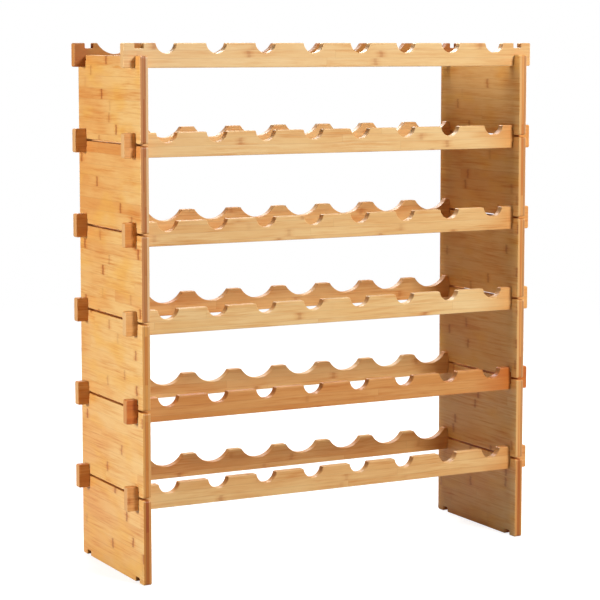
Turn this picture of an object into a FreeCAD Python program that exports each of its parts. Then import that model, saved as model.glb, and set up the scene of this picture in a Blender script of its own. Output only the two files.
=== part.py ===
import FreeCAD
import Part
import math
import os

# A six-tier bamboo wine rack that goes together without fasteners, in millimetres, +Z up.
# Origin: on the floor, midway between the side panels and midway along their depth. Front is -Y.
# Each tier is two side panels and two rails. Panels and rails cross in halved joints: a notch in
# one drops over a notch in the other, and gravity holds them. The next tier's panels stand on
# the rails of the tier below, so tiers can be added or lifted off.

# Driving dimensions
TIERS = 6
WIDTH_OVER_PANELS = 790.0
DEPTH = 280.0
PANEL_THICKNESS = 15.5
PANEL_HEIGHT = 150.5
STACKING_GAP = 3.5  # daylight between one panel and the next
RAIL_THICKNESS = 15.0
RAIL_HEIGHT = 43.0
RAIL_OVERHANG = 21.5  # how far a rail's end stands out past the panel
RAIL_SETBACK = 20.5  # from the panel's front or rear edge to the rail's face
RAIL_BELOW_PANEL_TOP = 21.0  # how far a rail reaches down past the top of its panels
RAIL_TOP_NOTCH = 9.5
RAIL_BOTTOM_NOTCH = 10.5
SIDE_CLEARANCE = 0.5  # each side of a panel or rail in its notch

# Bottle scallops, the same eight places on the front and the rear rail
SCALLOPS = 8
SCALLOP_PITCH = 96.0
NECK_RADIUS = 20.0
NECK_DEPTH = 18.0
BODY_RADIUS = 41.5
BODY_DEPTH = 20.0

# Rounding
EDGE_ROUND = 1.5  # round-over on the long edges of every piece
NOTCH_ROUND = 1.8  # inside corners of the notches, more than the round-over that runs into them
MOUTH_ROUND = 2.0  # outside corners at a notch's mouth
SCALLOP_LIP = 2.5  # outside corners of the scallops
PANEL_CORNER = 4.0
RAIL_CORNER = 3.0

# Sizes that follow
TIER_PITCH = PANEL_HEIGHT + STACKING_GAP
PANEL_MIDDLE_X = WIDTH_OVER_PANELS / 2 - PANEL_THICKNESS / 2
RAIL_MIDDLE_Y = DEPTH / 2 - RAIL_SETBACK - RAIL_THICKNESS / 2
RAIL_HALF_LENGTH = WIDTH_OVER_PANELS / 2 + RAIL_OVERHANG
RAIL_WEB = RAIL_HEIGHT - RAIL_TOP_NOTCH - RAIL_BOTTOM_NOTCH
PANEL_TOP_NOTCH = RAIL_BELOW_PANEL_TOP - RAIL_BOTTOM_NOTCH
PANEL_BOTTOM_NOTCH = RAIL_WEB - PANEL_TOP_NOTCH - STACKING_GAP
NOTCH_FOR_PANEL = PANEL_THICKNESS / 2 + SIDE_CLEARANCE  # half of a rail notch's width
NOTCH_FOR_RAIL = RAIL_THICKNESS / 2 + SIDE_CLEARANCE  # half of a panel notch's width

TOUCHING = 1e-6  # two points nearer than this are one point


def rounded_corner(before, corner, after, radius):
    """Start, middle and end of the arc that rounds one corner of an outline."""
    back = (before - corner).normalize()
    on = (after - corner).normalize()
    half_angle = back.getAngle(on) / 2
    start = corner + back * (radius / math.tan(half_angle))
    end = corner + on * (radius / math.tan(half_angle))
    inward = (back + on).normalize()
    middle = corner + inward * (radius / math.sin(half_angle) - radius)
    return start, middle, end


def rounded_corners(corners):
    """One arc for each (point, radius), each point taken between its two neighbours."""
    arcs = []
    for i, (point, radius) in enumerate(corners):
        before = corners[i - 1][0]
        after = corners[(i + 1) % len(corners)][0]
        arcs.append(rounded_corner(before, point, after, radius))
    return arcs


def face_between(arcs):
    """The flat face inside a closed outline of arcs, joined by straight runs where they are apart."""
    edges = []
    for i, (start, middle, end) in enumerate(arcs):
        edges.append(Part.Arc(start, middle, end).toShape())
        next_start = arcs[(i + 1) % len(arcs)][0]
        if end.distanceToPoint(next_start) > TOUCHING:
            edges.append(Part.LineSegment(end, next_start).toShape())
    return Part.Face(Part.Wire(edges))


def board(face, thickness_vector):
    """The face extruded through the board's thickness, with the edges of both broad faces rounded over."""
    solid = face.extrude(thickness_vector)
    normal = FreeCAD.Vector(thickness_vector).normalize()
    rims = []
    for edge in solid.Edges:
        first = edge.valueAt(edge.FirstParameter).dot(normal)
        last = edge.valueAt(edge.LastParameter).dot(normal)
        if abs(last - first) < TOUCHING:
            rims.append(edge)
    return solid.makeFillet(EDGE_ROUND, rims)


def notch(at, half_width, mouth, floor, point):
    """Four corners of a notch, towards rising values of the running coordinate."""
    return [
        (point(at - half_width, mouth), MOUTH_ROUND),
        (point(at - half_width, floor), NOTCH_ROUND),
        (point(at + half_width, floor), NOTCH_ROUND),
        (point(at + half_width, mouth), MOUTH_ROUND),
    ]


def scallop(centre_x, radius, depth, point):
    """Three arcs of one scallop in a rail's top edge, from right to left: lip, hollow, lip."""
    middle = point(centre_x, RAIL_HEIGHT - depth + radius)
    lip_drop = RAIL_HEIGHT - SCALLOP_LIP
    rise = middle.z - lip_drop
    spread = math.sqrt((radius + SCALLOP_LIP) ** 2 - rise**2)
    arcs = []
    for side in (1, -1):
        lip = point(centre_x + side * spread, lip_drop)
        towards_hollow = (middle - lip).normalize() * SCALLOP_LIP
        on_top = FreeCAD.Vector(0, 0, SCALLOP_LIP)
        between = (towards_hollow + on_top).normalize() * SCALLOP_LIP
        arcs.append((lip + on_top, lip + between, lip + towards_hollow))
    right, left = arcs
    lowest = point(centre_x, RAIL_HEIGHT - depth)
    return [right, (right[2], lowest, left[2]), (left[2], left[1], left[0])]


def rail(radius, depth, middle_y):
    """A rail with its scallops, standing on Z = 0."""
    front_y = middle_y - RAIL_THICKNESS / 2

    def point(x, z):
        return FreeCAD.Vector(x, front_y, z)

    top_floor = RAIL_HEIGHT - RAIL_TOP_NOTCH
    left_top = notch(-PANEL_MIDDLE_X, NOTCH_FOR_PANEL, RAIL_HEIGHT, top_floor, point)
    right_top = notch(PANEL_MIDDLE_X, NOTCH_FOR_PANEL, RAIL_HEIGHT, top_floor, point)
    # Anticlockwise seen from the front, so everything on the top edge runs from right to left.
    corners = left_top[::-1]
    corners.append((point(-RAIL_HALF_LENGTH, RAIL_HEIGHT), RAIL_CORNER))
    corners.append((point(-RAIL_HALF_LENGTH, 0), RAIL_CORNER))
    corners += notch(-PANEL_MIDDLE_X, NOTCH_FOR_PANEL, 0, RAIL_BOTTOM_NOTCH, point)
    corners += notch(PANEL_MIDDLE_X, NOTCH_FOR_PANEL, 0, RAIL_BOTTOM_NOTCH, point)
    corners.append((point(RAIL_HALF_LENGTH, 0), RAIL_CORNER))
    corners.append((point(RAIL_HALF_LENGTH, RAIL_HEIGHT), RAIL_CORNER))
    corners += right_top[::-1]
    arcs = rounded_corners(corners)
    for i in reversed(range(SCALLOPS)):
        centre_x = (i - (SCALLOPS - 1) / 2) * SCALLOP_PITCH
        arcs += scallop(centre_x, radius, depth, point)
    return board(face_between(arcs), FreeCAD.Vector(0, RAIL_THICKNESS, 0))


def panel(middle_x):
    """A side panel with its four notches, standing on Z = 0."""
    left_x = middle_x - PANEL_THICKNESS / 2

    def point(y, z):
        return FreeCAD.Vector(left_x, y, z)

    corners = [(point(-DEPTH / 2, 0), PANEL_CORNER)]
    for y in (-RAIL_MIDDLE_Y, RAIL_MIDDLE_Y):
        corners += notch(y, NOTCH_FOR_RAIL, 0, PANEL_BOTTOM_NOTCH, point)
    corners.append((point(DEPTH / 2, 0), PANEL_CORNER))
    corners.append((point(DEPTH / 2, PANEL_HEIGHT), PANEL_CORNER))
    top_floor = PANEL_HEIGHT - PANEL_TOP_NOTCH
    for y in (RAIL_MIDDLE_Y, -RAIL_MIDDLE_Y):
        corners += notch(y, NOTCH_FOR_RAIL, PANEL_HEIGHT, top_floor, point)[::-1]
    corners.append((point(-DEPTH / 2, PANEL_HEIGHT), PANEL_CORNER))
    return board(face_between(rounded_corners(corners)), FreeCAD.Vector(PANEL_THICKNESS, 0, 0))


def write(shape, height, node):
    """Saves the shape, lifted to its height, as one node."""
    placed = shape.translated(FreeCAD.Vector(0, 0, height))
    if not placed.isValid() or len(placed.Solids) != 1:
        raise ValueError(f"{node} isn't one valid solid")
    placed.exportStep(f"parts/{node}.step")


def main():
    os.makedirs("parts", exist_ok=True)
    left_panel = panel(-PANEL_MIDDLE_X)
    right_panel = panel(PANEL_MIDDLE_X)
    front_rail = rail(NECK_RADIUS, NECK_DEPTH, -RAIL_MIDDLE_Y)
    rear_rail = rail(BODY_RADIUS, BODY_DEPTH, RAIL_MIDDLE_Y)
    for tier in range(1, TIERS + 1):
        panel_foot = (tier - 1) * TIER_PITCH
        rail_foot = panel_foot + PANEL_HEIGHT - RAIL_BELOW_PANEL_TOP
        write(left_panel, panel_foot, f"left_panel_{tier}")
        write(right_panel, panel_foot, f"right_panel_{tier}")
        write(front_rail, rail_foot, f"front_rail_{tier}")
        write(rear_rail, rail_foot, f"rear_rail_{tier}")


main()
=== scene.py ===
import math
from collections import namedtuple

import bpy
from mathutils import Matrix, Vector


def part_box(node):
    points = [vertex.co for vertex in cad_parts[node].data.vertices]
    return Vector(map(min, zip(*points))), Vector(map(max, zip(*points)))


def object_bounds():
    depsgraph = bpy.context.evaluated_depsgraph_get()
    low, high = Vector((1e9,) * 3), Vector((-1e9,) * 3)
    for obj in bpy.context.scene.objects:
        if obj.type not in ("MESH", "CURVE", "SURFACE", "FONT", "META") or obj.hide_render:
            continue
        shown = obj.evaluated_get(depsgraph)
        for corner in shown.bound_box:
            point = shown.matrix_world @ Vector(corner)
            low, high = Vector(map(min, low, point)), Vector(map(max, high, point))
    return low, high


# A bamboo wine rack, dressed for a studio picture. Lengths are in metres and colours are linear RGB.
# Every CAD node stays as it is. This script gives it a bamboo material of its own, built from nodes.

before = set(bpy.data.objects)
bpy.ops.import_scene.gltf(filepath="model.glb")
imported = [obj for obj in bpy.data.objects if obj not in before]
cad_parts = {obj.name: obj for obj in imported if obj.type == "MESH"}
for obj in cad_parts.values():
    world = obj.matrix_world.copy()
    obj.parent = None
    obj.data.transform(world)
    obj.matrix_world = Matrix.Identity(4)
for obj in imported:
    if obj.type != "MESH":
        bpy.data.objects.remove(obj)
cad_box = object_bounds()

TIERS = 6
MM = 0.001

# The bamboo strips of a layer: how wide and how long each is, and how far apart its culm joints are
Layer = namedtuple("Layer", "width length internode")
OUTER_STRIPS = Layer(20.5 * MM, 0.70, 0.22)  # a panel's two outer plies
CORE_STRIPS = Layer(24.0 * MM, 0.085, 0.20)  # its middle ply
RAIL_STRIPS = Layer(14.4 * MM, 0.61, 0.23)
PLY_HALF = 2.9 * MM  # half the thickness of a panel's middle ply
PLY_BLEND = 0.12 * MM  # half the width over which one ply turns into the next
ROW_STAGGER = 7.3 * MM  # how far the outer ply's rows lie below the inner ply's

# The grain, as patterns that repeat so many times per metre along and across a strip
STREAKS = (11.0, 260.0)
FINE_FIBRES = (40.0, 1500.0)
GRAIN_PATCHES = (10.0, 38.0)
DRIFT_PATCHES = (7.0, 16.0)
DRIFT = 9.0 * MM  # how far a fibre wanders sideways
CUT_FIBRES = 1700.0  # specks per metre where fibres are cut across

# A culm joint: its line and the halo round it are whole up to the first distance and gone at the second
JOINT_LINE = (1.4 * MM, 5.4 * MM)
JOINT_HALO = (2.0 * MM, 16.0 * MM)
JOINT_RIPPLE = 7.0 * MM  # how far the line wanders

# Panel colours
HONEY = (0.800, 0.425, 0.128)
PALE = (0.835, 0.535, 0.205)
AMBER = (0.680, 0.260, 0.055)
YELLOW = (0.820, 0.440, 0.090)
FIBRE_AND_GAP_SHADE_TINT = (0.820, 0.540, 0.270)  # what the dark fibres do to the colour under them, and the painted shade in the gaps between tiers
NODE_BROWN = (0.400, 0.120, 0.022)
GLUE = (0.260, 0.095, 0.025)

# The front and rear edges of a panel, ply by ply: the one that faces out, the middle one and the inner one
Edge = namedtuple("Edge", "outer core inner")
# The paler inner ply is partly the bamboo's own tone and partly a painted highlight, where the rounded
# inner edge catches the light
BROWN_EDGE = Edge(outer=(0.550, 0.205, 0.055), core=(0.490, 0.190, 0.043), inner=(0.790, 0.490, 0.235))
GOLD_EDGE = Edge(outer=(0.690, 0.315, 0.070), core=(0.690, 0.310, 0.060), inner=(0.690, 0.335, 0.095))
TAN_EDGE = Edge(outer=(0.560, 0.240, 0.075), core=(0.700, 0.315, 0.085), inner=(0.770, 0.410, 0.135))
STEAMED_EDGE = Edge(outer=(0.540, 0.190, 0.020), core=(0.440, 0.120, 0.011), inner=(0.640, 0.255, 0.055))

# Rail colours
RAIL_CREAM = (0.830, 0.570, 0.265)
RAIL_HONEY = (0.780, 0.460, 0.165)
RAIL_BROWN = (0.590, 0.222, 0.042)
# The darkest rail colour, below, is painted shade, laid on the top rear rail
RAIL_SHADE_DARK = (0.330, 0.125, 0.008)
TAB_SHADE_TINT = (0.860, 0.540, 0.220)  # painted shade: what the warm shade where a rail's ends pass the panels does to the colour under them
END_PALE = (0.760, 0.460, 0.195)
END_DARK = (0.420, 0.190, 0.065)

# How warm each piece is, counted up from the floor. 0 is pale bamboo, and a little less than 0 is creamier
# still. 1 is well steamed. Only a rail goes past 1, towards 2 for the darkest, as painted shade; it gets
# duller too.
PANEL_WARMTH = (0.70, 0.30, 0.20, 0.30, 0.55, 0.35)
RAIL_WARMTH = (0.50, 1.00, -0.15, 0.25, 0.12, 0.08)
# The rear rails are warmer and darker than the front ones, partly their own tone and partly painted shade
# for lying behind the front rails
REAR_RAIL_WARMTH_AND_SHADE = (0.80, 0.45, 0.60, 0.70, 0.40, 1.75)

# How much of the painted shade the left and the right end of each rail take, also counted up from the floor
FRONT_TAB_SHADE = ((0.62, 0.45), (1.0, 1.0), (0.62, 0.62), (1.0, 0.62), (0.70, 0.80), (0.10, 0.15))
REAR_TAB_SHADE = ((0.62, 0.62),) * TIERS
LEFT_TAB_SHADE = (19.5 * MM, 34.5 * MM)  # where the painted shade at the left end starts to fade and is gone, from the tip
RIGHT_TAB_SHADE = (21.5 * MM, 136.5 * MM)  # the same at the right end

# How the edges look on each panel, also counted up from the floor
LEFT_EDGES = (STEAMED_EDGE, GOLD_EDGE, GOLD_EDGE, BROWN_EDGE, BROWN_EDGE, BROWN_EDGE)
RIGHT_EDGES = (STEAMED_EDGE, TAN_EDGE, TAN_EDGE, TAN_EDGE, TAN_EDGE, TAN_EDGE)

# Strips cut from much darker bamboo: the row they lie in and how dark they are
DARK_ROWS = {"left_panel_5": (11.0, 0.7), "left_panel_6": (12.0, 0.35)}

# The lacquer
SATIN = 0.36  # roughness where it is smoothest
BUMP_HEIGHT = 0.25 * MM

# Where the camera stands, from the middle of the object's box, and which way it looks
CAMERA_FROM_MIDDLE = Vector((-1.813, -3.393, 0.467))
CAMERA_HEADING = math.radians(27.95)  # turned from +Y towards +X
CAMERA_PITCH = math.radians(-5.94)
LENS = 124.4  # mm, on Blender's 36 mm sensor
SHIFT_Y = -0.065

# The studio
WORLD_LIGHT = 0.05  # strength of the light that the white background gives
FLOOR_RADIUS = 6.0
FLOOR_DROP = 0.2 * MM
FLOOR_FADE = (1.2, 4.0)  # distances from the middle between which the floor turns clear
FLOOR_GREY = (0.38, 0.38, 0.38)
FLOOR_GLOW = 0.78  # what is added where the camera sees it


class Shader:
    """Builds one material's node tree. Most of its methods give back output sockets."""

    def __init__(self, name):
        self.material = bpy.data.materials.new(name)
        self.material.use_nodes = True
        self.tree = self.material.node_tree
        self.tree.nodes.clear()

    def node(self, kind, inputs=None, output=0, **settings):
        made = self.tree.nodes.new(kind)
        for key, value in settings.items():
            setattr(made, key, value)
        for key, value in (inputs or {}).items():
            self.feed(made.inputs[key], value)
        return made.outputs[output]

    def feed(self, socket, value):
        if isinstance(value, bpy.types.NodeSocket):
            self.tree.links.new(value, socket)
        elif isinstance(value, tuple) and socket.type == "RGBA":
            socket.default_value = (*value, 1.0)
        else:
            socket.default_value = value

    def math(self, operation, *values):
        return self.node("ShaderNodeMath", dict(enumerate(values)), operation=operation)

    def split(self, vector):
        outputs = self.node("ShaderNodeSeparateXYZ", {0: vector}).node.outputs
        return outputs[0], outputs[1], outputs[2]

    def position(self):
        """The point on the object, in the row frame, as x, y and z."""
        return self.split(self.node("ShaderNodeTexCoord", output="Object"))

    def facing(self):
        """How far the surface faces along x, y and z, each from 0 to 1."""
        parts = self.split(self.node("ShaderNodeTexCoord", output="Normal"))
        return [self.math("ABSOLUTE", part) for part in parts]

    def vector(self, x, y, z):
        return self.node("ShaderNodeCombineXYZ", {0: x, 1: y, 2: z})

    def noise(self, vector, detail=2.0, roughness=0.5):
        inputs = {"Vector": vector, "Scale": 1.0, "Detail": detail, "Roughness": roughness}
        return self.node("ShaderNodeTexNoise", inputs)

    def patches(self, along, across, per_metre, seed, detail=2.0):
        """Noise that is stretched by how often it repeats per metre along and across a strip."""
        stretched_along = self.math("MULTIPLY", along, per_metre[0])
        stretched_across = self.math("MULTIPLY", across, per_metre[1])
        return self.noise(self.vector(stretched_along, stretched_across, seed), detail)

    def speckle(self, point, per_metre):
        """Noise that repeats as often in every direction."""
        return self.noise(self.vector(*(self.math("MULTIPLY", value, per_metre) for value in point)))

    def chances(self, x, y, z):
        """Three random numbers, the same all over each cell that has the same x, y and z."""
        cell = self.vector(x, y, z)
        return self.split(self.node("ShaderNodeTexWhiteNoise", {0: cell}, output="Color"))

    def spread(self, value, low, high, out_low=0.0, out_high=1.0):
        """value from low to high, eased over out_low to out_high and held past both ends."""
        inputs = {0: value, 1: low, 2: high, 3: out_low, 4: out_high}
        return self.node("ShaderNodeMapRange", inputs, interpolation_type="SMOOTHSTEP")

    def mix(self, factor, first, second, blend="MIX"):
        """first turned into second, as far as factor says. A Mix node's colour sockets are 6 and 7."""
        inputs = {0: factor, 6: first, 7: second}
        return self.node("ShaderNodeMix", inputs, output=2, data_type="RGBA", blend_type=blend)

    def tint(self, factor, colour, by):
        """colour multiplied by the second colour, as far as factor says."""
        return self.mix(factor, colour, by, blend="MULTIPLY")

    def finish(self, colour, roughness, height):
        """Joins the parts up under a thin satin lacquer, ends the tree and gives back the material."""
        normal = self.node("ShaderNodeBump", {"Height": height, "Strength": 0.6, "Distance": BUMP_HEIGHT})
        inputs = {
            "Base Color": colour,
            "Roughness": roughness,
            "Normal": normal,
            "Coat Weight": 0.18,
            "Coat Roughness": 0.3,
            "Specular IOR Level": 0.4,
        }
        return self.output(self.node("ShaderNodeBsdfPrincipled", inputs))

    def output(self, surface):
        """Ends the tree with this surface and gives back the material."""
        end = self.tree.nodes.new("ShaderNodeOutputMaterial")
        self.feed(end.inputs[0], surface)
        return self.material


def strips(sh, along, across, seed, layer):
    """The parts of a layer of bamboo strips that run along one way and lie side by side across it."""
    row_at = sh.math("MULTIPLY_ADD", across, 1 / layer.width, seed * 0.37)
    row = sh.math("FLOOR", row_at)
    shift_ends, shift_joints, _ = sh.chances(row, seed, 0.5)
    piece_at = sh.math("MULTIPLY_ADD", along, 1 / layer.length, sh.math("MULTIPLY", shift_ends, 9.0))
    piece = sh.math("FLOOR", piece_at)
    tone, hue, _ = sh.chances(row, piece, seed)

    # The joints in the culm: a short dark line across the strip, with a soft darker zone round it
    joint_at = sh.math("MULTIPLY_ADD", along, 1 / layer.internode, sh.math("MULTIPLY", shift_joints, 7.0))
    cell = sh.math("FLOOR", joint_at)
    place, strength, _ = sh.chances(row, cell, seed + 3.7)
    centre = sh.math("MULTIPLY_ADD", place, 0.6, 0.2)
    offset = sh.math("SUBTRACT", sh.math("FRACT", joint_at), centre)
    offset = sh.math("MULTIPLY", offset, layer.internode)
    ripple = sh.noise(sh.vector(sh.math("MULTIPLY", across, 130.0), row, seed), detail=1.0)
    wave = sh.math("MULTIPLY_ADD", ripple, JOINT_RIPPLE, -JOINT_RIPPLE / 2)

    # Seams: how far it is to the side of the strip or to its end
    side = sh.math("PINGPONG", row_at, 0.5)
    end = sh.math("PINGPONG", piece_at, 0.5)
    to_side = sh.math("MULTIPLY", side, layer.width)
    to_end = sh.math("MULTIPLY", end, layer.length)
    seam_gap = sh.math("MINIMUM", to_side, to_end)

    # Fibres: long drawn-out streaks that drift a little, and much finer ones inside them
    drift = sh.patches(along, across, DRIFT_PATCHES, seed)
    drifted = sh.math("MULTIPLY_ADD", drift, DRIFT, across)
    lengthwise = sh.math("MULTIPLY_ADD", along, STREAKS[0], sh.math("MULTIPLY", tone, 40.0))
    streak_at = sh.vector(lengthwise, sh.math("MULTIPLY", drifted, STREAKS[1]), seed)
    grain = sh.patches(along, across, GRAIN_PATCHES, seed + 5.0)
    return {
        "row": row,
        "tone": tone,
        "hue": hue,
        "distance": sh.math("ABSOLUTE", sh.math("ADD", offset, wave)),
        "strength": sh.math("MULTIPLY", sh.spread(strength, 0.30, 0.75), sh.spread(side, 0.02, 0.12)),
        "streak": sh.noise(streak_at, detail=3.0, roughness=0.62),
        "grain": sh.spread(grain, 0.30, 0.70, 0.15, 1.0),
        "fine": sh.patches(along, drifted, FINE_FIBRES, seed),
        "seam": sh.spread(seam_gap, 0.05 * MM, 0.5 * MM, 1.0, 0.0),
    }


def second_smallest(sh, a, b, c):
    low = sh.math("MINIMUM", a, b)
    high = sh.math("MAXIMUM", a, b)
    return sh.math("MAXIMUM", low, sh.math("MINIMUM", high, c))


def edge_wear(sh, point, node):
    """1 along the outer edges of a board, fading to 0 a few millimetres in, broken up along them."""
    low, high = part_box(node)
    gaps = []
    for value, least, most in zip(point, low, high):
        from_low = sh.math("SUBTRACT", value, least)
        to_high = sh.math("SUBTRACT", most, value)
        gaps.append(sh.math("MINIMUM", from_low, to_high))
    near = sh.spread(second_smallest(sh, *gaps), 0.4 * MM, 3.2 * MM, 1.0, 0.0)
    return sh.math("MULTIPLY", near, sh.spread(sh.speckle(point, 60.0), 0.3, 0.65, 0.35, 1.0))


def cut_ends(sh, colour, point):
    """Adds fine dark specks, the ends of fibres, to the colour of a cut end."""
    specks = sh.spread(sh.speckle(point, CUT_FIBRES), 0.38, 0.66, 1.0, 0.0)
    return sh.mix(sh.math("MULTIPLY", specks, 0.25), colour, END_DARK)


def seams(sh, colour, ply):
    return sh.mix(sh.math("MULTIPLY", ply["seam"], 0.22), colour, GLUE)


def fibres(sh, colour, ply, depth):
    """Deepens colour along the streaks, as far as depth says."""
    coarse = sh.spread(ply["streak"], 0.38, 0.74, 0.0, 0.46 * depth)
    coarse = sh.math("MULTIPLY", coarse, ply["grain"])
    fine = sh.spread(ply["fine"], 0.40, 0.80, 0.0, 0.14 * depth)
    return sh.tint(sh.math("ADD", coarse, fine), colour, FIBRE_AND_GAP_SHADE_TINT)


def culm_joints(sh, colour, ply, line_depth, halo_depth, halo_colour):
    """Adds the culm joints to a layer's colour. Gives back the line's strength too, for the bump."""
    halo = sh.spread(ply["distance"], *JOINT_HALO, 1.0, 0.0)
    line = sh.spread(ply["distance"], *JOINT_LINE, 1.0, 0.0)
    flame = sh.spread(ply["streak"], 0.30, 0.65, 0.25, 1.25)
    halo_strength = sh.math("MULTIPLY", ply["strength"], halo_depth)
    halo = sh.math("MULTIPLY", sh.math("MULTIPLY", halo, flame), halo_strength)
    line = sh.math("MULTIPLY", sh.math("MULTIPLY", line, ply["strength"]), line_depth)
    return sh.mix(line, sh.mix(halo, colour, halo_colour), NODE_BROWN), line


def lacquer(sh, ply, wear, cut, smoothest=SATIN):
    """The roughness: duller on the fibres, along worn edges and on cut ends."""
    roughness = sh.math("MULTIPLY_ADD", ply["streak"], 0.16, smoothest)
    roughness = sh.math("MULTIPLY_ADD", wear, 0.08, roughness)
    return sh.math("MULTIPLY_ADD", cut, 0.12, roughness)


def relief(sh, ply, line):
    """Height for the bump: raised fibres, sunken seams and slightly raised culm joints."""
    height = sh.math("MULTIPLY_ADD", ply["fine"], 0.35, sh.math("MULTIPLY", ply["streak"], 0.3))
    height = sh.math("SUBTRACT", height, sh.math("MULTIPLY", ply["seam"], 0.5))
    return sh.math("MULTIPLY_ADD", line, 0.4, height)


def outer_plies(sh, y, across, rearward, ply, seed, warmth):
    """The colour of a panel's faces before the marks on it: paler in front and warmer to the rear."""
    cloud = sh.patches(y, across, (8.0, 17.0), seed, detail=3.0)
    pale = sh.math("MULTIPLY_ADD", ply["tone"], 0.40, sh.spread(cloud, 0.3, 0.7, 0.80, 0.0))
    pale = sh.math("ADD", pale, sh.math("MULTIPLY_ADD", rearward, -0.75, 0.88 - warmth * 0.9))
    colour = sh.mix(pale, HONEY, PALE)
    steamed = sh.spread(ply["hue"], 0.93 - warmth * 0.1, 0.99 - warmth * 0.1, 0.0, 0.30)
    colour = sh.mix(steamed, colour, AMBER)
    colour = sh.mix(sh.math("MULTIPLY", rearward, 0.12 + warmth * 0.2), colour, AMBER)
    gold = sh.patches(y, across, (11.0, 26.0), seed + 9.0)
    colour = sh.mix(sh.spread(gold, 0.45, 0.75, 0.0, 0.75), colour, YELLOW)
    return sh.mix(sh.spread(cloud, 0.5, 0.8, warmth * 0.12, 0.22 + warmth * 0.3), colour, AMBER)


def middle_ply(sh, point, seed, core_side):
    """The colour of a panel's middle ply, whose strips stand upright."""
    x, y, z = point
    upright = strips(sh, z, sh.math("MULTIPLY_ADD", x, 2.2, y), seed + 41.0, CORE_STRIPS)
    colour = sh.tint(sh.spread(upright["tone"], 0.35, 0.75, 0.7, 0.0), core_side, FIBRE_AND_GAP_SHADE_TINT)
    return fibres(sh, colour, upright, 2.0)


def panel_bamboo(node, seed, warmth, edge, dark_row, gap_shaded):
    """Three-ply flat-pressed board: outer plies run front to back, the darker middle ply runs upright."""
    sh = Shader(node)
    point = sh.position()
    x, y, z = point
    low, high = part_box(node)

    # Which ply this is, going through the board from its inner face to its outer one
    middle = (low.x + high.x) / 2
    outward = math.copysign(1.0, middle)
    through = sh.math("MULTIPLY_ADD", x, outward, -middle * outward)
    depth = sh.math("ABSOLUTE", through)
    outer = sh.spread(through, -0.1 * MM, 0.1 * MM)
    core = sh.spread(depth, PLY_HALF - PLY_BLEND, PLY_HALF + PLY_BLEND, 1.0, 0.0)

    across = sh.math("MULTIPLY_ADD", outer, ROW_STAGGER, sh.math("SUBTRACT", z, low.z))
    ply = strips(sh, y, across, seed, OUTER_STRIPS)
    ply["seam"] = sh.math("MULTIPLY", ply["seam"], sh.math("SUBTRACT", 1.0, core))
    ply["strength"] = sh.math("MULTIPLY", ply["strength"], sh.math("MULTIPLY_ADD", outer, 0.4, 0.6))
    colour = outer_plies(sh, y, across, sh.spread(y, low.y, high.y), ply, seed, warmth)
    if dark_row is not None:
        row, darkness = dark_row
        row_gap = sh.math("ABSOLUTE", sh.math("SUBTRACT", ply["row"], row))
        colour = sh.mix(sh.spread(row_gap, 0.2, 0.6, darkness, 0.0), colour, AMBER)
    colour, line = culm_joints(sh, colour, ply, 0.80, 0.60, AMBER)
    colour = fibres(sh, seams(sh, colour, ply), ply, 2.1)
    core_colour = middle_ply(sh, point, seed, edge.core)

    # Where fibres are cut across, on the edges
    _, face_y, face_z = sh.facing()
    cut_outer = sh.spread(face_y, 0.70, 0.95)
    cut_core = sh.spread(face_z, 0.70, 0.95)
    ends = cut_ends(sh, sh.mix(outer, edge.inner, edge.outer), point)
    colour = sh.mix(sh.math("MULTIPLY", cut_outer, 0.95), colour, ends)
    core_colour = sh.mix(sh.math("MULTIPLY", cut_core, 0.6), core_colour, ends)
    colour = sh.mix(core, colour, core_colour)

    # The glue between the plies, the wear, and painted shade on the top and bottom edges of a panel that
    # another tier stands on, for the gaps between tiers
    glue_gap = sh.math("ABSOLUTE", sh.math("SUBTRACT", depth, PLY_HALF))
    glue = sh.spread(glue_gap, 0.15 * MM, 0.8 * MM, 1.0, 0.0)
    colour = sh.mix(sh.math("MULTIPLY", glue, sh.math("MULTIPLY_ADD", outer, 0.30, 0.15)), colour, GLUE)
    wear = edge_wear(sh, point, node)
    colour = sh.mix(sh.math("MULTIPLY", wear, 0.05), colour, PALE)
    # painted shade on the top and bottom edges, in the gaps between tiers
    if gap_shaded:
        colour = sh.tint(sh.math("MULTIPLY", cut_core, 0.8), colour, FIBRE_AND_GAP_SHADE_TINT)
    return sh.finish(colour, lacquer(sh, ply, wear, cut_outer), relief(sh, ply, line))


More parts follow.
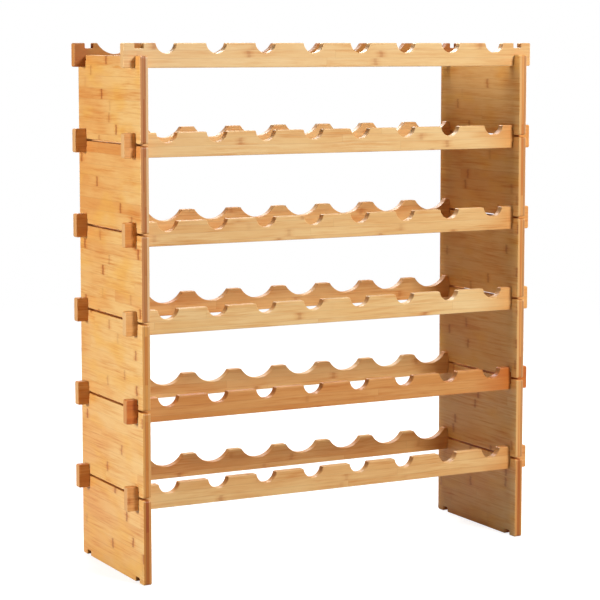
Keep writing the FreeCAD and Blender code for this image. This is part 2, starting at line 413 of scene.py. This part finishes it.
def rail_bamboo(node, seed, warmth, tab_shade):
    """Strips laid along the rail, with softer joint marks than the panels have."""
    sh = Shader(node)
    point = sh.position()
    x, y, z = point
    low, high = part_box(node)
    up = sh.math("SUBTRACT", z, low.z)
    ply = strips(sh, x, up, seed, RAIL_STRIPS)
    cloud = sh.patches(x, up, (6.0, 30.0), seed, detail=3.0)
    deep = sh.math("MULTIPLY_ADD", ply["tone"], 0.5, sh.spread(cloud, 0.3, 0.7, 0.0, 0.55))
    deep = sh.math("ADD", deep, min(warmth - 0.3, 0.0) * 0.5)
    pale = sh.mix(deep, RAIL_CREAM, RAIL_HONEY)
    dark = sh.mix(deep, RAIL_HONEY, RAIL_BROWN)
    colour = sh.mix(warmth, pale, dark)
    if warmth > 0.8:  # steamed until it is brown all over; past 1 it is darkened further, as painted shade
        colour = sh.mix(0.55, colour, RAIL_BROWN)
        colour = sh.mix(warmth - 1.0, colour, RAIL_SHADE_DARK)
    colour, line = culm_joints(sh, colour, ply, 0.30, 0.45, RAIL_BROWN)
    colour = fibres(sh, seams(sh, colour, ply), ply, 1.9)

    # The ends, which stick out past the panels: painted shade where they pass the panels, then their cut
    # end grain
    left_shade, right_shade = tab_shade
    left_end_shade = sh.spread(x, low.x + LEFT_TAB_SHADE[0], low.x + LEFT_TAB_SHADE[1], left_shade, 0.0)
    right_end_shade = sh.spread(x, high.x - RIGHT_TAB_SHADE[1], high.x - RIGHT_TAB_SHADE[0], 0.0, right_shade)
    colour = sh.tint(sh.math("MAXIMUM", left_end_shade, right_end_shade), colour, TAB_SHADE_TINT)
    face_x, _, _ = sh.facing()
    cut = sh.spread(face_x, 0.70, 0.95)
    ends = cut_ends(sh, sh.mix(warmth * 0.8, END_PALE, RAIL_BROWN), point)
    colour = sh.mix(sh.math("MULTIPLY", cut, 0.9), colour, ends)

    wear = edge_wear(sh, point, node)
    colour = sh.mix(sh.math("MULTIPLY", wear, 0.1), colour, RAIL_CREAM)
    roughness = lacquer(sh, ply, wear, cut, SATIN + max(warmth - 1.0, 0.0) * 0.4)
    return sh.finish(colour, roughness, relief(sh, ply, line))


def dress(node, material):
    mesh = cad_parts[node].data
    mesh.materials.clear()
    mesh.materials.append(material)


def dress_rack():
    """Each piece gets its own seed, so no two show the same grain."""
    panels = (("left", LEFT_EDGES, 0.0), ("right", RIGHT_EDGES, 31.7))
    rails = (("front", RAIL_WARMTH, FRONT_TAB_SHADE, 0.0), ("rear", REAR_RAIL_WARMTH_AND_SHADE, REAR_TAB_SHADE, 19.3))
    for tier in range(TIERS):
        gap_shaded = tier < TIERS - 1
        for side, edges, shift in panels:
            node = f"{side}_panel_{tier + 1}"
            seed = (tier + 1) * 2.3 + shift
            dark_row = DARK_ROWS.get(node)
            dress(node, panel_bamboo(node, seed, PANEL_WARMTH[tier], edges[tier], dark_row, gap_shaded))
        for end, warmth, tab_shade, shift in rails:
            node = f"{end}_rail_{tier + 1}"
            seed = (tier + 1) * 3.1 + shift
            dress(node, rail_bamboo(node, seed, warmth[tier], tab_shade[tier]))


def camera(middle):
    data = bpy.data.cameras.new("camera")
    data.lens = LENS
    data.shift_y = SHIFT_Y
    made = bpy.data.objects.new("camera", data)
    made.location = middle + CAMERA_FROM_MIDDLE
    made.rotation_euler = (math.pi / 2 + CAMERA_PITCH, 0.0, -CAMERA_HEADING)
    bpy.context.scene.collection.objects.link(made)
    bpy.context.scene.camera = made


def softbox(name, middle, azimuth, elevation, distance, size, power):
    """A white area light that faces the object. Azimuth 0 is in front and 90 on the right, in degrees."""
    turn, lift = math.radians(azimuth), math.radians(elevation)
    away = Vector((math.sin(turn) * math.cos(lift), -math.cos(turn) * math.cos(lift), math.sin(lift)))
    data = bpy.data.lights.new(name, "AREA")
    data.shape = "RECTANGLE"
    data.size, data.size_y = size
    data.energy = power
    made = bpy.data.objects.new(name, data)
    made.location = middle + away * distance
    made.rotation_euler = away.to_track_quat("Z", "Y").to_euler()
    made.visible_camera = False
    bpy.context.scene.collection.objects.link(made)


def lights(middle):
    softbox("key_left", middle, -90, 10, 4.0, (0.5, 0.8), 131)
    softbox("key_front", middle, 18, 27, 4.0, (0.9, 1.0), 136)
    softbox("overhead", middle, 100, 82, 2.6, (1.2, 1.5), 22)
    softbox("fill_right", middle, 98, 12, 3.5, (1.0, 1.6), 85)
    softbox("fill_rear", middle, 168, 45, 3.5, (1.4, 1.2), 110)


def studio_world():
    """White where the camera sees it, and a dimmer white as the light that it gives."""
    world = bpy.data.worlds.new("studio")
    world.use_nodes = True
    tree = world.node_tree
    path = tree.nodes.new("ShaderNodeLightPath")
    strength = tree.nodes.new("ShaderNodeMapRange")
    strength.inputs["To Min"].default_value = WORLD_LIGHT
    strength.inputs["To Max"].default_value = 1.0
    background = tree.nodes["Background"]
    background.inputs["Color"].default_value = (1.0, 1.0, 1.0, 1.0)
    tree.links.new(path.outputs["Is Camera Ray"], strength.inputs["Value"])
    tree.links.new(strength.outputs[0], background.inputs["Strength"])
    bpy.context.scene.world = world


def floor_material():
    sh = Shader("floor")
    diffuse = sh.node("ShaderNodeBsdfDiffuse", {"Color": FLOOR_GREY})
    seen_directly = sh.node("ShaderNodeLightPath", output="Is Camera Ray")
    strength = sh.math("MULTIPLY", seen_directly, FLOOR_GLOW)
    glow = sh.node("ShaderNodeEmission", {"Color": (1.0, 1.0, 1.0), "Strength": strength})
    lit = sh.node("ShaderNodeAddShader", {0: diffuse, 1: glow})
    x, y, _ = sh.position()
    from_middle = sh.math("SQRT", sh.math("ADD", sh.math("MULTIPLY", x, x), sh.math("MULTIPLY", y, y)))
    clear = sh.node("ShaderNodeBsdfTransparent")
    faded = sh.node("ShaderNodeMixShader", {0: sh.spread(from_middle, *FLOOR_FADE), 1: lit, 2: clear})
    return sh.output(faded)


def floor(middle, bottom):
    """A pale floor that fades out into the white round it."""
    bpy.ops.mesh.primitive_circle_add(vertices=128, radius=FLOOR_RADIUS, fill_type="NGON")
    made = bpy.context.object
    made.name = "floor"
    made.location = (middle.x, middle.y, bottom - FLOOR_DROP)
    made.data.materials.append(floor_material())


low, high = cad_box
middle = (low + high) / 2
camera(middle)
dress_rack()
lights(middle)
studio_world()
floor(middle, low.z)
bpy.context.scene.view_settings.view_transform = "Standard"
